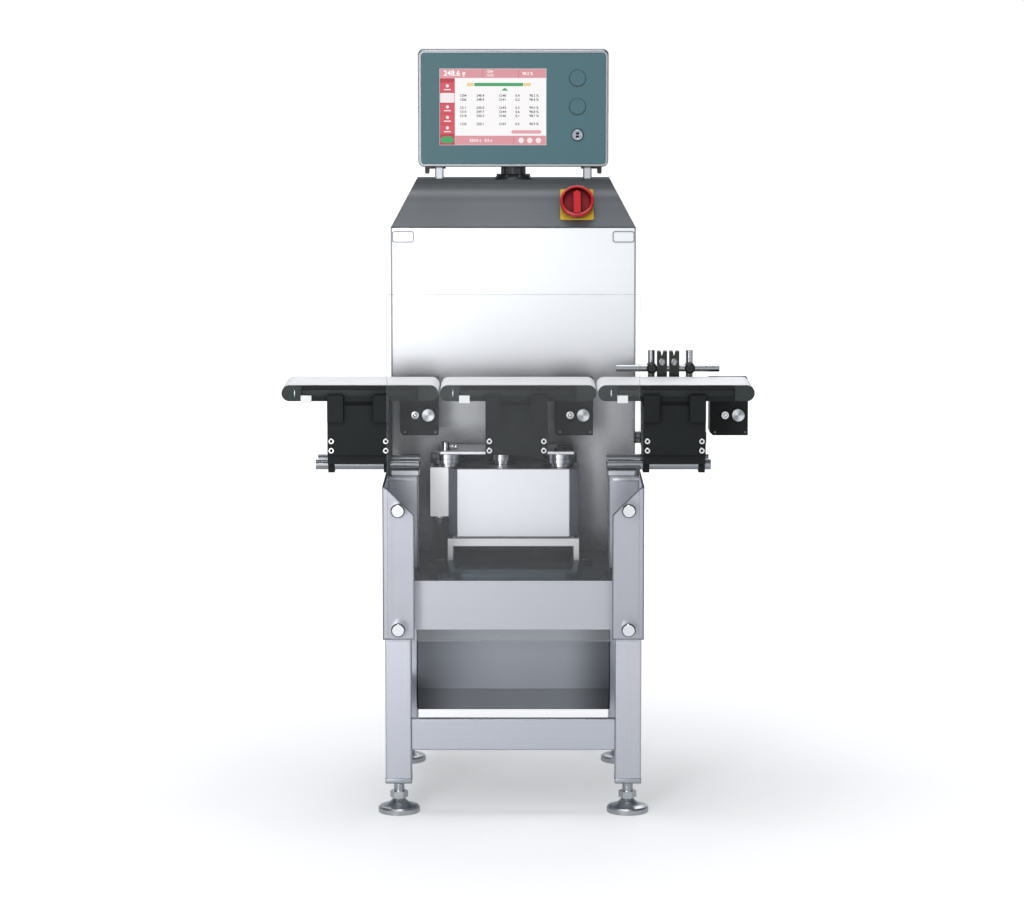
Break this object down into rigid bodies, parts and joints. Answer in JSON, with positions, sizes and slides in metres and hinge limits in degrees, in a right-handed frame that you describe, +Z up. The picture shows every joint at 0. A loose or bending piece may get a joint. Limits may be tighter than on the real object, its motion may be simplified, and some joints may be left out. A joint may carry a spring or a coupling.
{
  "type": "checkweigher",
  "caption": "In-line checkweigher: infeed, weigh and outfeed belt conveyors on a steel frame, with a cabinet, an operator terminal, a clear guard pane and a main switch.",
  "frame": {"origin": "on the floor, in the middle of the machine's outline; the conveyor line is centred on X = 0 and the frame stands 9.3 mm to the left of it", "axes": "+X along the conveyor line from infeed to outfeed, +Y from the guard pane in front to the cabinet's back, +Z up"},
  "size_m": [0.9188, 0.626, 1.4546],
  "materials": {
    "frame_steel": "satin brushed stainless tube",
    "panel_steel": "satin brushed stainless sheet",
    "base_steel": "satin stainless, darker glossy top",
    "lower_steel": "satin stainless sheet in shade",
    "cabinet_steel": "pale satin stainless sheet",
    "door_steel": "pale satin stainless sheet",
    "hood_steel": "darker satin stainless sheet",
    "cell_steel": "fine satin stainless",
    "bar_steel": "drawn stainless bar",
    "upright_steel": "fine satin stainless",
    "polished_steel": "polished stainless",
    "chrome": "bright turned steel",
    "foot_chrome": "dark turned steel",
    "clear_pane": "clear polycarbonate sheet",
    "charcoal_aluminium": "charcoal anodised aluminium",
    "black_aluminium": "black anodised aluminium",
    "black_plastic": "black moulded plastic",
    "white_belt": "white coated belt",
    "yellow_plastic": "yellow moulded plastic",
    "red_plastic": "red moulded plastic",
    "terminal_aluminium": "fine satin aluminium",
    "teal_film": "teal grey printed film",
    "screen": "lit display under a clear cover",
    "dark_metal": "dark painted steel"
  },
  "bodies": {
    "machine": {"front_legs": "frame_steel", "rear_legs": "frame_steel", "feet": "foot_chrome", "cross_beam": "frame_steel", "side_beams": "frame_steel", "base": "base_steel", "side_panel_left": "panel_steel", "side_panel_right": "panel_steel", "guard_pane": "clear_pane", "pane_standoffs": "polished_steel", "bar_posts": "frame_steel", "support_bars": "bar_steel", "rollers": "bar_steel", "drive_plugs": "polished_steel", "weigh_stand": "cell_steel", "weigh_cell": "cell_steel", "weigh_side_box": "cell_steel", "weigh_feet": "chrome", "weigh_platform": "cell_steel", "platform_fittings": "chrome", "platform_stop": "black_aluminium", "lower_housing": "lower_steel", "cabinet": "cabinet_steel", "cabinet_hood": "hood_steel", "rear_door": "door_steel", "switch_plate": "yellow_plastic", "terminal_case": "terminal_aluminium", "terminal_film": "teal_film", "terminal_screen": "screen", "terminal_uprights": "upright_steel", "terminal_neck": "dark_metal", "terminal_hooks": "dark_metal", "sensor_bracket": "black_aluminium", "sensor_rods": "bar_steel", "rod_clamps": "black_plastic", "sensor_heads": "black_plastic", "infeed_frame": "charcoal_aluminium", "infeed_belt": "white_belt", "infeed_carrier": "charcoal_aluminium", "infeed_drive": "charcoal_aluminium", "weigh_frame": "charcoal_aluminium", "weigh_belt": "white_belt", "weigh_carrier": "charcoal_aluminium", "weigh_drive": "charcoal_aluminium", "outfeed_frame": "charcoal_aluminium", "outfeed_belt": "white_belt", "outfeed_carrier": "charcoal_aluminium", "outfeed_drive": "charcoal_aluminium"},
    "switch_knob": {"switch_handle": "red_plastic"}
  },
  "joints": [
    {"name": "main_switch_turn", "type": "hinge", "parent": "machine", "child": "switch_knob", "pos_m": [0.1181, 0.1336, 1.14608], "axis": [0, -0.8816, 0.472], "range_deg": [0, 90]}
  ]
}
